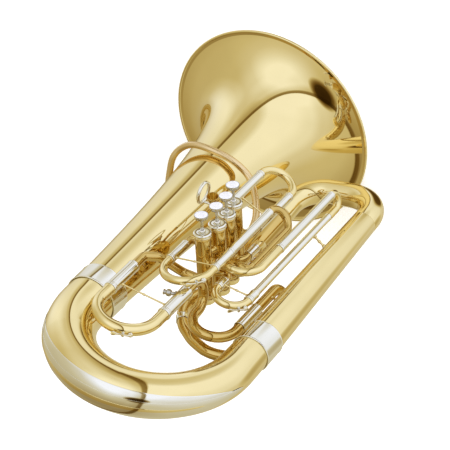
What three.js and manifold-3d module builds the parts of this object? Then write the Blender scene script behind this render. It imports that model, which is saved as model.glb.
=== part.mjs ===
// A four-valve tuba with front-action piston valves, standing on its bell.
//
// Axes: +Z runs from the bell rim up to the bottom bow, the valves face -Y, and the bell stem is on the
// +X side. Sizes are millimetres. The tubing is followed in the order the air takes: leadpipe, valves 1
// to 4, main tuning slide, return loop, small bow, inner branch, top bow, outer branch, bottom bow, bell.

import * as THREE from 'three';
import { mergeGeometries, mergeVertices } from 'three/addons/utils/BufferGeometryUtils.js';
import Module from 'manifold-3d';

const wasm = await Module();
wasm.setup();

// ---- driving dimensions ----

const GAP = 0.3; // clearance between neighbouring pieces
const WALL = 1.4; // tube wall

const BELL = { rim: 228.5, top: 688, wall: 2, flare: 28, power: 0.458, sides: 32 };
const BOW = { radius: 166.6, springing: 737.5, steps: 12, sides: 18, wall: 1.8 };
const BOW_TAPER = [[0, 51.2], [150, 50], [330, 43.8], [655, 36.6]]; // distance along the bow, radius
const GUARD = { first: 2, last: 12, halfAngle: 48, lift: 1.1, thickness: 1.2, tip: 0.06 };
const BRANCH = { x: -2 * BOW.radius, bottom: 36.6, start: 655, knee: 622, topX: -322, end: 200, top: 26.5 };
const TOP_BOW = { low: 108, x: -143, y: 36, radius: 24, joint: [-140, 50, 205] };
const INNER = { knee: [-133, 82, 420], x: -125, y: 62, straight: 530, end: 556, radius: 12 };

const VALVE = {
  bore: 13.8, casing: 15.5, length: 156, tilt: THREE.MathUtils.degToRad(7),
  cap: 17.9, capHeight: 8, piston: 13.4, pistonTop: -26, pistonLength: 66,
  stem: 2.6, stemTop: 32, button: 13, buttonHeight: 8, face: -128, sides: 12,
};
const VALVES = [ // cap centres, valve 1 nearest the bell
  { x: -149, z: 438 },
  { x: -156, z: 476.5 },
  { x: -157.5, z: 516 },
  { x: -148.5, z: 557 },
];

const TUBE = { inner: 7, outer: 8.2, bore: 6.2, ring: 8.9, sides: 8 }; // valve slides
const MAIN = { inner: 10.6, outer: 11.8, bore: 9.6, ring: 13.3, sides: 10 }; // main tuning slide
const RETURN = { radius: 10, end: 11, sleeve: 12.2 };
const LEADPIPE = { start: 6.8, end: 7.2 };
const LONG_TUBE = { thick: 9.4, slim: 7.8 }; // the two long straight tubes of valve 4
const KEY = { pivot: 4.4, pad: 14, finger: 18, cup: 5.2, nipple: 3.4, drain: 1.5, barrel: 2.4 }; // water keys
const THUMB_RING = { x: -87, y: -130, z: 448, radius: 21, wire: 3.2 };

// ---- materials ----

const metal = (color, roughness) => new THREE.MeshStandardMaterial({ color, roughness, metalness: 1 });
const BRASS = metal(0xd9b250, 0.12);
const ROSE = metal(0xc9945a, 0.14);
const NICKEL = metal(0xd6d3c8, 0.16);
const STEEL = metal(0x9b9b9b, 0.35);
const PEARL = new THREE.MeshStandardMaterial({ color: 0xf2f0ee, roughness: 0.25, metalness: 0 });

// ---- geometry helpers ----

// A centre line made of stations, each with a point, a tangent and its distance along the line.
class Route {
  constructor(points, tangents) {
    this.points = points;
    this.tangents = tangents;
    this.distances = [0];
    for (let i = 1; i < points.length; i += 1) {
      this.distances.push(this.distances[i - 1] + points[i].distanceTo(points[i - 1]));
    }
    this.length = this.distances.at(-1);
    this.normals = this.carryNormals();
  }

  // The normal starts as near to Y as it can and is carried along without twisting.
  carryNormals() {
    const first = this.tangents[0];
    const seed = Math.abs(first.y) < 0.9 ? new THREE.Vector3(0, 1, 0) : new THREE.Vector3(0, 0, 1);
    const normals = [seed.projectOnPlane(first).normalize()];
    for (let i = 1; i < this.points.length; i += 1) {
      const turn = new THREE.Quaternion().setFromUnitVectors(this.tangents[i - 1], this.tangents[i]);
      normals.push(normals[i - 1].clone().applyQuaternion(turn));
    }
    return normals;
  }

  at(distance) {
    let i = 0;
    while (i < this.distances.length - 2 && this.distances[i + 1] < distance) i += 1;
    const span = this.distances[i + 1] - this.distances[i];
    const t = (distance - this.distances[i]) / span;
    const mix = (list) => list[i].clone().lerp(list[i + 1], t);
    const tangent = mix(this.tangents).normalize();
    const normal = mix(this.normals).projectOnPlane(tangent).normalize();
    return { point: mix(this.points), tangent, normal };
  }
}

// Straight runs through the given corners, with a round bend at each inner corner.
function bent(corners, bends, step = 30) {
  const c = corners.map((p) => new THREE.Vector3(...p));
  const points = [c[0]];
  const tangents = [c[1].clone().sub(c[0]).normalize()];
  for (let i = 1; i < c.length - 1; i += 1) {
    const into = c[i].clone().sub(c[i - 1]).normalize();
    const out = c[i + 1].clone().sub(c[i]).normalize();
    const angle = into.angleTo(out);
    const radius = Array.isArray(bends) ? bends[i - 1] : bends;
    const start = c[i].clone().addScaledVector(into, -radius * Math.tan(angle / 2));
    const side = out.clone().projectOnPlane(into).normalize();
    const centre = start.clone().addScaledVector(side, radius);
    const steps = Math.max(1, Math.ceil(THREE.MathUtils.radToDeg(angle) / step));
    for (let k = 0; k <= steps; k += 1) {
      const a = (angle * k) / steps;
      points.push(centre.clone()
        .addScaledVector(side, -radius * Math.cos(a))
        .addScaledVector(into, radius * Math.sin(a)));
      tangents.push(into.clone().multiplyScalar(Math.cos(a)).addScaledVector(side, Math.sin(a)));
    }
  }
  points.push(c.at(-1));
  tangents.push(c.at(-1).clone().sub(c.at(-2)).normalize());
  return new Route(points, tangents);
}

// A smooth centre line through the given points.
function flowing(points, steps) {
  const curve = new THREE.CatmullRomCurve3(points.map((p) => new THREE.Vector3(...p)), false, 'centripetal');
  const places = Array.from({ length: steps + 1 }, (_, i) => i / steps);
  return new Route(places.map((u) => curve.getPointAt(u)), places.map((u) => curve.getTangentAt(u)));
}

// Keeps positions only, joins shared corners, drops slivers and turns the faces outwards.
function solid(geometry) {
  const bare = geometry.index ? geometry.toNonIndexed() : geometry.clone();
  bare.deleteAttribute('normal');
  bare.deleteAttribute('uv');
  const merged = mergeVertices(bare, 1e-3);
  const position = merged.attributes.position;
  const kept = [];
  const corner = [0, 1, 2].map(() => new THREE.Vector3());
  let volume = 0;
  for (let i = 0; i < merged.index.count; i += 3) {
    const ids = [0, 1, 2].map((k) => merged.index.getX(i + k));
    if (new Set(ids).size < 3) continue;
    kept.push(...ids);
    ids.forEach((id, k) => corner[k].fromBufferAttribute(position, id));
    volume += corner[0].dot(corner[1].cross(corner[2]));
  }
  if (volume < 0) kept.reverse();
  merged.setIndex(kept);
  return merged;
}

// Turns a profile of [distance, radius] pairs about a route, as a lathe does about a straight axis.
function sweep(route, profile, sides = 10) {
  const outline = [];
  profile.forEach(([s, r], i) => {
    outline.push(new THREE.Vector2(r, s));
    if (i === profile.length - 1) return;
    const [s2, r2] = profile[i + 1];
    const between = route.distances.filter((d) => d > Math.min(s, s2) + 0.5 && d < Math.max(s, s2) - 0.5);
    if (s2 < s) between.reverse();
    between.forEach((d) => outline.push(new THREE.Vector2(r + ((r2 - r) * (d - s)) / (s2 - s), d)));
  });
  const geometry = new THREE.LatheGeometry(outline, sides);
  const position = geometry.attributes.position;
  for (let i = 0; i < position.count; i += 1) {
    const { point, tangent, normal } = route.at(position.getY(i));
    const side = normal.clone().cross(tangent);
    point.addScaledVector(normal, position.getX(i)).addScaledVector(side, position.getZ(i));
    position.setXYZ(i, point.x, point.y, point.z);
  }
  return solid(geometry);
}

// An open tube along a route; the taper lists [distance, outer radius] pairs.
function tapered(route, taper, sides, wall = WALL) {
  const inside = taper.map(([s, r]) => [s, r - wall]).reverse();
  return sweep(route, [...taper, ...inside, taper[0]], sides);
}

const pipe = (route, r0, r1, sides, wall) => tapered(route, [[0, r0], [route.length, r1]], sides, wall);

// A plain ring or sleeve between two points.
function sleeve(from, to, outer, inner, sides = 10) {
  const line = bent([from, to], 0);
  return sweep(line, [[0, outer], [line.length, outer], [line.length, inner], [0, inner], [0, outer]], sides);
}

// A brace with a flange at each end, reaching from one tube's surface to another's.
function brace(a, radiusA, b, radiusB, thickness = 2) {
  const start = new THREE.Vector3(...a);
  const end = new THREE.Vector3(...b);
  const along = end.clone().sub(start).normalize();
  start.addScaledVector(along, radiusA + 2 * GAP);
  end.addScaledVector(along, -radiusB - 2 * GAP);
  const total = start.distanceTo(end);
  const flange = thickness * 1.9;
  return sweep(bent([start.toArray(), end.toArray()], 0), [
    [0, 0], [0, flange], [1.2, flange], [3.5, thickness], [total - 3.5, thickness],
    [total - 1.2, flange], [total, flange], [total, 0],
  ], 6);
}

function toManifold(geometry) {
  return new wasm.Manifold(new wasm.Mesh({
    numProp: 3,
    vertProperties: new Float32Array(geometry.attributes.position.array),
    triVerts: new Uint32Array(geometry.index.array),
  }));
}

function fromManifold(manifold) {
  const { vertProperties, triVerts } = manifold.getMesh();
  const geometry = new THREE.BufferGeometry();
  geometry.setAttribute('position', new THREE.Float32BufferAttribute(vertProperties, 3));
  geometry.setIndex([...triVerts]);
  return geometry;
}

const join = (...parts) => fromManifold(parts.map(toManifold).reduce((a, b) => a.add(b)));
const cut = (part, ...tools) => fromManifold(tools.map(toManifold).reduce((a, b) => a.subtract(b), toManifold(part)));

const tuba = new THREE.Group();

function add(name, geometry, material, parent = tuba) {
  const mesh = new THREE.Mesh(geometry, material);
  mesh.name = name;
  parent.add(mesh);
  return mesh;
}

// ---- bell, bows and branches ----

const flareRadius = (z) => (BELL.rim - 4) * ((z + BELL.flare) / BELL.flare) ** -BELL.power;

function bell() {
  const heights = [2.2, 7, 16, 32, 60, 105, 170, 260, 380, 520, BELL.top];
  const inside = heights.map((z) => new THREE.Vector2(flareRadius(z) - BELL.wall, z));
  const outside = heights.map((z) => {
    const slope = (flareRadius(z + 0.5) - flareRadius(z - 0.5));
    const n = new THREE.Vector2(1, -slope).normalize().multiplyScalar(BELL.wall);
    return new THREE.Vector2(flareRadius(z) - BELL.wall + n.x, z === BELL.top ? z : z + n.y);
  }).reverse();
  const roll = [[-5.5, 5.6], [-2, 6.2], [0, 4.4], [0, 1.6], [-1.4, 0], [-5.4, 0]];
  const edge = roll.map(([r, z]) => new THREE.Vector2(BELL.rim + r, z));
  const geometry = new THREE.LatheGeometry([...inside, ...outside, ...edge, inside[0]], BELL.sides);
  return solid(geometry.rotateX(Math.PI / 2));
}

const bowRoute = (() => {
  const { radius, springing, steps } = BOW;
  const points = [new THREE.Vector3(0, 0, BELL.top + GAP)];
  const tangents = [new THREE.Vector3(0, 0, 1)];
  for (let i = 0; i <= steps; i += 1) {
    const a = (Math.PI * i) / steps;
    points.push(new THREE.Vector3(-radius + radius * Math.cos(a), 0, springing + radius * Math.sin(a)));
    tangents.push(new THREE.Vector3(-Math.sin(a), 0, Math.cos(a)));
  }
  points.push(new THREE.Vector3(-2 * radius, 0, BRANCH.start));
  tangents.push(new THREE.Vector3(0, 0, -1));
  return new Route(points, tangents);
})();
BOW_TAPER.at(-1)[0] = bowRoute.length;

function bowRadius(distance) {
  const i = BOW_TAPER.findIndex(([s], k) => k > 0 && distance <= s + 1);
  const [s0, r0] = BOW_TAPER[i - 1];
  const [s1, r1] = BOW_TAPER[i];
  return THREE.MathUtils.lerp(r0, r1, (distance - s0) / (s1 - s0));
}

// A thin guard plate over the outermost part of the bow, widest in the middle and pointed at its ends.
function bowGuard() {
  const { first, last, halfAngle, lift, thickness, tip } = GUARD;
  const plate = new THREE.BoxGeometry(1, 1, 1, last - first, 1, 6);
  const position = plate.attributes.position;
  for (let i = 0; i < position.count; i += 1) {
    const along = position.getX(i) + 0.5;
    const s = bowRoute.distances[first + Math.round(along * (last - first))];
    const { point, tangent } = bowRoute.at(s);
    const taper = tip + (1 - tip) * Math.sin(Math.PI * along) ** 0.7;
    const angle = 2 * position.getZ(i) * THREE.MathUtils.degToRad(halfAngle) * taper;
    const out = new THREE.Vector3(0, 1, 0).cross(tangent);
    const radius = bowRadius(s) + lift + (position.getY(i) > 0 ? thickness : 0);
    point.addScaledVector(out, radius * Math.cos(angle));
    point.y += radius * Math.sin(angle);
    position.setXYZ(i, point.x, point.y, point.z);
  }
  return solid(plate);
}

function body() {
  add('bell', bell(), BRASS);
  add('bottom_bow', tapered(bowRoute, BOW_TAPER, BOW.sides, BOW.wall), BRASS);
  add('bow_guard', bowGuard(), NICKEL);

  const stem = bent([[0, 0, 666], [0, 0, 714]], 0);
  add('bell_ferrule', sweep(stem, [
    [0, 54.3], [4, 55.3], [44, 54.3], [48, 53.4], [48, 52], [22, 52.4], [0, 53], [0, 54.3],
  ], 24), NICKEL);

  const { x, start, knee, topX, end, bottom, top } = BRANCH;
  const branch = bent([[x, 0, start - GAP], [x, 0, knee], [topX, 0, end]], 200);
  add('outer_branch', pipe(branch, bottom, top, 16), BRASS);
  const ring = bent([[x, 0, 684], [x, 0, 627]], 0);
  add('branch_ferrule', sweep(ring, [
    [0, 40.2], [3, 41], [54, 40.4], [57, 39.4], [57, 37.9], [0, 38.7], [0, 40.2],
  ], 18), NICKEL);

  const over = bent([
    [topX, 0, end - GAP], [topX + 2, 0, TOP_BOW.low], [TOP_BOW.x, TOP_BOW.y, TOP_BOW.low], TOP_BOW.joint,
  ], [74, 66]);
  add('top_bow', pipe(over, top, TOP_BOW.radius, 14), BRASS);

  const [jointX, jointY, jointZ] = TOP_BOW.joint;
  const inner = bent([
    [jointX, jointY, jointZ + GAP], INNER.knee, [INNER.x, INNER.y, INNER.straight],
    [INNER.x, INNER.y, INNER.end],
  ], [200, 80]);
  add('inner_branch', pipe(inner, TOP_BOW.radius, INNER.radius, 12), BRASS);
}

// ---- small bow, return loop and exit pipe ----

function smallTubing() {
  const bow = bent([
    [INNER.x, INNER.y, INNER.end + GAP], [INNER.x, INNER.y, 575], [-152, 59, 618], [-190, 56, 648],
    [-235, 54, 668], [-290, 54, 652], [-290, 54, 560],
  ], [60, 80, 80, 60, 40]);
  add('small_bow', pipe(bow, INNER.radius, RETURN.end, 10), BRASS);
  const band = bow.at(46);
  const [start, end] = [-8, 8].map((d) => band.point.clone().addScaledVector(band.tangent, d).toArray());
  add('small_bow_ferrule', sleeve(start, end, 13.8, 12.5, 12), NICKEL);

  const loop = bent([
    [-168, -48, 640], [-168, -48, 585], [-178, 14, 585], [-178, 16, 662], [-267, 20, 662],
    [-267, 20, 450], [-290, 54, 450], [-290, 54, 560 - GAP],
  ], [29, 29, 44, 44, 20.4, 20.4]);
  add('return_loop', pipe(loop, RETURN.radius, RETURN.end, 8), BRASS);
  add('return_loop_sleeve', sleeve([-267, 20, 606], [-267, 20, 536], RETURN.sleeve + 0.4, RETURN.sleeve - 0.7), NICKEL);

  const exit = bent([
    [-137.6, -15, 557], [-112, -15, 557], [-72, -54, 586], [-50, -58, 604], [-50, -58, 640],
  ], [16, 16, 14]);
  add('exit_pipe', pipe(exit, 9, 9.4, 8), BRASS);

  add('branch_brace', brace([-272, -35, 331], LONG_TUBE.slim, [-325.2, 0, 331], 30), BRASS);
}

// ---- valves ----

const piston = new THREE.Vector3(Math.sin(VALVE.tilt), -Math.cos(VALVE.tilt), 0); // points out of the cap

// The middle of valve n's bore at a given Y.
function boreAt(n, y) {
  const { x, z } = VALVES[n - 1];
  return [x + (piston.x / piston.y) * (y - VALVE.face), y, z];
}

function valveGroup(n) {
  const group = new THREE.Group();
  const { x, z } = VALVES[n - 1];
  const across = new THREE.Vector3(0, 0, -1);
  const third = piston.clone().cross(across);
  group.applyMatrix4(new THREE.Matrix4().makeBasis(across, third, piston));
  group.position.set(x, VALVE.face, z);
  group.updateMatrixWorld();
  tuba.add(group);
  return group;
}

// A turned piece on a valve's own axis: [height above the cap face, radius] pairs.
function turned(profile, sides = VALVE.sides) {
  const geometry = new THREE.LatheGeometry(profile.map(([z, r]) => new THREE.Vector2(r, z)), sides);
  geometry.rotateX(Math.PI / 2);
  return solid(geometry);
}

// The casing with the short tubes that leave it; each port is a route of its own.
function casing(n, ports) {
  const group = valveGroup(n);
  const { bore, casing: outer, length: depth } = VALVE;
  const shell = turned([[-depth, 0], [-depth, outer], [-3.4, outer], [-3.4, 0]]);
  const hole = turned([[-depth - 5, 0], [-depth - 5, bore], [0, bore], [0, 0]]);
  const home = group.matrixWorld;
  const tubes = ports.map(({ route, radius }) => sweep(route, [
    [0, 0], [0, radius], [route.length, radius], [route.length, 0],
  ], TUBE.sides));
  const joined = join(shell.clone().applyMatrix4(home), ...tubes);
  add(`valve_${n}_casing`, cut(joined, hole.clone().applyMatrix4(home)), BRASS);
  return group;
}

function spring(from, to) {
  const turns = 3;
  const perTurn = 6;
  const coil = 10.6;
  const points = Array.from({ length: turns * perTurn + 1 }, (_, i) => {
    const a = (2 * Math.PI * i) / perTurn;
    return [coil * Math.cos(a), coil * Math.sin(a), from + ((to - from) * i) / (turns * perTurn)];
  });
  const route = flowing(points, turns * perTurn);
  return sweep(route, [[0, 0], [0, 0.9], [route.length, 0.9], [route.length, 0]], 3);
}

function valve(n, ports) {
  const group = casing(n, ports);
  const { casing: outer, cap, capHeight, length: depth, pistonTop, pistonLength, stem, stemTop } = VALVE;
  const seat = outer + GAP;
  add(`valve_${n}_top_cap`, turned([
    [0, stem + 0.7], [0, cap - 1.6], [-1.6, cap], [-capHeight, cap], [-capHeight, seat], [-3, seat],
    [-3, stem + 0.7], [0, stem + 0.7],
  ]), NICKEL, group);
  add(`valve_${n}_bottom_cap`, turned([
    [-depth - 5, 0], [-depth - 5, 8], [-depth - 4, cap - 2], [-depth - 2, cap - 0.8],
    [-depth + 8, cap - 0.8], [-depth + 8, seat], [-depth - 0.4, seat], [-depth - 0.4, 0],
  ]), BRASS, group);

  const base = pistonTop - pistonLength;
  const plug = turned([
    [base, 0], [base, VALVE.piston], [pistonTop, VALVE.piston], [pistonTop, 4.4], [pistonTop + 4, 4.4],
    [pistonTop + 4, stem], [stemTop, stem], [stemTop, 0],
  ]);
  const passage = (height, slant) => {
    const line = bent([[-20, slant, height], [20, -slant, height]], 0);
    return sweep(line, [[0, 0], [0, 5.6], [line.length, 5.6], [line.length, 0]], 6);
  };
  add(`valve_${n}_piston`, cut(plug, passage(base + 14, 4), passage(base + 34, -4)), STEEL, group);
  add(`valve_${n}_spring`, spring(-depth + 1, base - 1.2), STEEL, group);

  const foot = stemTop + GAP;
  const r = VALVE.button;
  add(`valve_${n}_button`, turned([
    [foot, 0], [foot, 4.6], [foot + 2.4, 5], [foot + 4, r - 1], [foot + 5.4, r], [foot + 7, r],
    [foot + VALVE.buttonHeight, r - 1.6], [foot + VALVE.buttonHeight, 0],
  ]), PEARL, group);
}

// A port that runs from the middle of a valve's wall through the given corners.
const port = (corners, bend, radius = TUBE.outer) => ({ route: bent(corners, bend), radius });

// The short link between a valve and the next one along the row.
function link(n, y) {
  const [x, , z] = boreAt(n, y);
  const [nextX, , nextZ] = boreAt(n + 1, y);
  const reach = 1 - (VALVE.casing + 1) / Math.hypot(nextX - x, nextZ - z);
  return port([[x, y, z], [x + (nextX - x) * reach, y, z + (nextZ - z) * reach]], 0);
}

// ---- slides and water keys ----

const block = (size, x, y, z) => solid(new THREE.BoxGeometry(...size).translate(x, y, z));
const disc = (r0, r1, height, x, y, sides = 10) => solid(
  new THREE.CylinderGeometry(r0, r1, height, sides).translate(x, y, 0),
);

// A water key's lever. In its own frame X runs along the crook, Y points out of it and Z across it.
function waterKey(name, place) {
  const cup = disc(4.2, KEY.cup, 3.2, KEY.pad, 2.1);
  const arm = block([KEY.pad + KEY.finger, 1.8, 3.4], (KEY.pad - KEY.finger) / 2, KEY.pivot, 0);
  const touch = disc(5, 5, 1.6, -KEY.finger, KEY.pivot + 0.2);
  const barrel = solid(new THREE.CylinderGeometry(KEY.barrel, KEY.barrel, 4.4, 8)
    .rotateX(Math.PI / 2).translate(0, KEY.pivot, 0));
  add(name, join(cup, arm, touch, barrel), NICKEL).applyMatrix4(place);
}

// A crook with the drain nipple and the two lugs that carry a water key.
function withKeySeat(crook, place) {
  const nipple = disc(KEY.nipple, KEY.nipple + 0.3, 4.4, KEY.pad, -2.1, 8).applyMatrix4(place);
  const lugs = [-1, 1].map((side) => block([5, 9, 1.4], 0, 2.3, side * 3.4).applyMatrix4(place));
  const drain = disc(KEY.drain, KEY.drain, 12, KEY.pad, -4, 6).applyMatrix4(place);
  return cut(join(crook, nipple, ...lugs), drain);
}

// Slide legs at two places, joined by a crook. Each place is [x, y, mouth, seat]: the sleeve runs from
// its seat near the valves to its mouth, where the crook goes in. A key is set at an angle round the crook.
function slide(name, places, { size = TUBE, reach, legs, brace: across, key }) {
  const toward = Math.sign(places[0][2] - places[0][3]);
  const sleeves = places.map(([x, y, mouth, seat]) => {
    const line = bent([[x, y, seat], [x, y, mouth]], 0);
    const hole = size.inner + 0.65;
    return sweep(line, [
      [0, size.outer], [line.length - 5, size.outer], [line.length - 4, size.ring],
      [line.length, size.ring], [line.length, hole], [0, hole], [0, size.outer],
    ], size.sides);
  });
  const [a, b] = places.map(([x, y]) => new THREE.Vector3(x, y, 0));
  const apart = b.clone().sub(a).normalize();
  const reachIn = size.outer * Math.cos(Math.PI / size.sides) - 0.2;
  const bar = bent([a, b].map((p, i) => p.clone().addScaledVector(apart, i ? -reachIn : reachIn)
    .setZ(across).toArray()), 0);
  const rod = sweep(bar, [[0, 0], [0, 1.9], [bar.length, 1.9], [bar.length, 0]], 6);
  add(`${name}_sleeves`, join(...sleeves, rod), NICKEL);

  const bend = a.distanceTo(b) / 2;
  const inner = (p, place) => [p.x, p.y, place[2] - toward * legs];
  const corner = (p) => [p.x, p.y, reach];
  const line = bent([inner(a, places[0]), corner(a), corner(b), inner(b, places[1])], bend - 0.01, 22.5);
  const shoulder = [legs + GAP, line.length - legs - GAP];
  const crook = sweep(line, [
    [0, size.inner], [shoulder[0], size.inner], [shoulder[0], size.outer], [shoulder[1], size.outer],
    [shoulder[1], size.inner], [line.length, size.inner], [line.length, size.bore], [0, size.bore],
    [0, size.inner],
  ], size.sides);
  if (!key) {
    add(`${name}_crook`, crook, BRASS);
    return;
  }
  const angle = THREE.MathUtils.degToRad(key.angle);
  const up = new THREE.Vector3(0, 0, toward);
  const out = apart.clone().multiplyScalar(Math.cos(angle)).addScaledVector(up, Math.sin(angle));
  const along = apart.clone().multiplyScalar(Math.sin(angle)).addScaledVector(up, -Math.cos(angle));
  const middle = a.clone().add(b).multiplyScalar(0.5).setZ(reach - toward * bend);
  const place = new THREE.Matrix4().makeBasis(along, out, along.clone().cross(out));
  place.setPosition(middle.addScaledVector(out, bend + size.outer));
  add(`${name}_crook`, withKeySeat(crook, place), BRASS);
  waterKey(key.name, place);
}

function slides() {
  slide('main_slide', [[-50, -58, 726, 640.4], [-168, -48, 726, 640.4]], {
    size: MAIN, reach: 811, legs: 74, brace: 700, key: { name: 'main_water_key', angle: 67.5 },
  });
  slide('valve_1_slide', [[-121, -86, 274, 404], [-188, -58, 274, 404]], { reach: 234, legs: 70, brace: 362 });
  slide('valve_2_slide', [[-198, -28, 424, 456], [-198, 5, 424, 456]], { reach: 398, legs: 24, brace: 440 });
  slide('valve_3_slide', [[-100, -62, 590, 530], [-196, -81, 590, 530]], {
    reach: 650, legs: 44, brace: 580, key: { name: 'valve_3_water_key', angle: 45 },
  });
  slide('valve_4_slide', [[-206, -40, 588, 560], [-272, -35, 588, 560]], {
    reach: 622, legs: 24, brace: 574, key: { name: 'valve_4_water_key', angle: 45 },
  });
}

// ---- valve tubing ----

function valveTubing() {
  const leadpipe = flowing([
    [78, 118, 338], [84, 78, 316], [85, 38, 288], [87, -4, 277], [85, -42, 269], [74, -63, 262],
    [48, -83, 260], [0, -90, 262], [-46, -80, 258], [-86, -57, 259], [-120, -38, 290], [-150, -28, 340],
    [-161.5, -25, 385], [-162, -25, 412],
  ], 20);
  add('leadpipe', pipe(leadpipe, LEADPIPE.start, LEADPIPE.end, 8), ROSE);
  const mouth = leadpipe.at(0);
  const socket = bent([55.4, 0.4].map((d) => mouth.point.clone().addScaledVector(mouth.tangent, -d).toArray()), 0);
  add('mouthpiece_receiver', sweep(socket, [
    [0, 9.6], [4, 9.6], [6, 8.6], [44, 8.4], [46, 9.2], [55, 9.2], [55, 6], [0, 7.4], [0, 9.6],
  ], 10), NICKEL);

  const { outer, sides } = TUBE;
  const loop = bent([[-196, -81, 372], [-196, -81, 342], [-232, -45, 342], [-232, -45, 499.6]], 25);
  add('valve_3_loop', pipe(loop, outer, outer, sides), BRASS);
  const long = bent([[-196, -81, 372.4], [-196, -81, 529.6]], 0);
  add('valve_3_long_tube', pipe(long, outer, outer, sides, 1.2), NICKEL);

  const feed = bent([
    [-214, -62, 550], [-222, -62, 550], [-262, -68, 548], [-262, -68, 452],
  ], [20, 34]);
  add('valve_4_feed', pipe(feed, outer, 8.8, sides), BRASS);
  const thick = bent([[-262, -68, 451.6], [-262, -68, 236]], 0);
  add('valve_4_long_tube', pipe(thick, LONG_TUBE.thick, LONG_TUBE.thick, 10), NICKEL);
  const turn = bent([[-262, -68, 235.6], [-262, -68, 217], [-272, -35, 217], [-272, -35, 262]], 17.2);
  add('valve_4_top_bend', pipe(turn, outer, outer, sides), BRASS);
  const slim = bent([[-272, -35, 262.4], [-272, -35, 559.6]], 0);
  add('valve_4_slim_tube', pipe(slim, LONG_TUBE.slim, LONG_TUBE.slim, 10), NICKEL);
}

function valves() {
  const from = (n, y) => boreAt(n, y);
  valve(1, [
    port([from(1, -86), [-121, -86, 426], [-121, -86, 404.4]], 10),
    port([from(1, -58), [-188, -58, 428], [-188, -58, 404.4]], 12),
    port([from(1, -25), [-162, -25, 412.4]], 0, 7.6),
    link(1, -75),
  ]);
  valve(2, [
    port([from(2, -28), [-198, -28, 475], [-198, -28, 456.4]], 12),
    port([from(2, 5), [-198, 5, 475], [-198, 5, 456.4]], 12),
    link(2, -15),
  ]);
  valve(3, [
    port([from(3, -62), [-100, -62, 508], [-100, -62, 529.6]], 12),
    port([from(3, -45), [-232, -45, 516], [-232, -45, 500]], 12),
    link(3, -75),
  ]);
  valve(4, [
    port([[-156, -62, 550], [-213.6, -62, 550]], 0),
    port([from(4, -40), [-206, -40, 540], [-206, -40, 559.6]], 10),
    port([from(4, -15), [-138, -15, 557]], 0, 9),
  ]);
}

// The thumb ring on its stalk, beside valve 1.
function thumbRing() {
  const { x, y, z, radius, wire } = THUMB_RING;
  const hoop = new THREE.TorusGeometry(radius, wire, 6, 18).rotateY(Math.PI / 2).translate(x, y, z);
  const stalk = bent([[x, y + radius, z], [-135.3, -104, 440]], 0);
  const end = stalk.length;
  const post = sweep(stalk, [[0, 0], [0, 2.6], [end - 2, 2.6], [end - 1.5, 5], [end, 5], [end, 0]], 8);
  add('thumb_ring', join(solid(hoop), post), NICKEL);
}

body();
smallTubing();
valves();
slides();
valveTubing();
thumbRing();

// The origin is the middle of the rim's plane below the whole object.
const bounds = new THREE.Box3().setFromObject(tuba);
const centre = bounds.getCenter(new THREE.Vector3());
tuba.position.set(-centre.x, -centre.y, -bounds.min.z);

export default tuba;
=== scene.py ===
"""The looks of a four-valve brass tuba that stands on its bell.

Lengths are in millimetres, measured from the bell's axis at the height of the rim. world() turns them into
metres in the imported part's frame. The centre lines are the ones that the CAD pieces follow.
"""
import math

import bpy
import numpy as np
from mathutils import Matrix, Vector

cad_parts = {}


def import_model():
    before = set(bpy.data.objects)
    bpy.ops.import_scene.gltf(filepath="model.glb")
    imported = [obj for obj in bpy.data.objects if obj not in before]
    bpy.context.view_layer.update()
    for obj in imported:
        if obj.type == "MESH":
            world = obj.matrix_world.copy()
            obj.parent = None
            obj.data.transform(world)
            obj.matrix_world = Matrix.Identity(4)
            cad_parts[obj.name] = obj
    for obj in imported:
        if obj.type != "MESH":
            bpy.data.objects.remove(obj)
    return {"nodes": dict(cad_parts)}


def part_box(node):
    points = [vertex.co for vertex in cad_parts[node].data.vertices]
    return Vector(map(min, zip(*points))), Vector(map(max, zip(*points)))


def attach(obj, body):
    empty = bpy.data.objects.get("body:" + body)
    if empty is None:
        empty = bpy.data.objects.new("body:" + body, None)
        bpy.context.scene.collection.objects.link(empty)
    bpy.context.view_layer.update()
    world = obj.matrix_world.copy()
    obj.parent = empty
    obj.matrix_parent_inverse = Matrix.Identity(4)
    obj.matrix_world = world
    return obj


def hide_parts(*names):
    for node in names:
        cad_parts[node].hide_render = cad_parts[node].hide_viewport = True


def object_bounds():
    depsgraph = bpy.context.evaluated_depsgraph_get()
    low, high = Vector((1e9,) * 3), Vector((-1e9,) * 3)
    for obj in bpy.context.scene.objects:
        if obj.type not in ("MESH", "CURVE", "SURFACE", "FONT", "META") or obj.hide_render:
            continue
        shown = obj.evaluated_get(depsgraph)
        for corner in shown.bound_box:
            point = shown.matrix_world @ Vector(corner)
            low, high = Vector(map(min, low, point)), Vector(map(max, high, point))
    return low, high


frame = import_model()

MM = 0.001
cad_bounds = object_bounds()
bell_low, bell_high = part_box("bell")
BELL_AXIS = np.array([(bell_low.x + bell_high.x) / 2, (bell_low.y + bell_high.y) / 2, bell_low.z])
scene = bpy.context.scene


def world(points):
    """Millimetres from the bell's axis to metres in the part's frame."""
    return np.asarray(points, float) * MM + BELL_AXIS


def unit(v):
    """The vector at length 1."""
    v = np.asarray(v, float)
    return v / np.linalg.norm(v)


# ---- camera, light and floor ----

FORWARD = unit((0.3739, 0.5934, -0.7128))
RIGHT = unit(np.array((-0.8653, -0.0534, -0.4984)) - FORWARD * np.dot((-0.8653, -0.0534, -0.4984), FORWARD))
CAMERA_AT = (-1853.4, -2794.1, 3716.4)
LENS = 188.4


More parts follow.
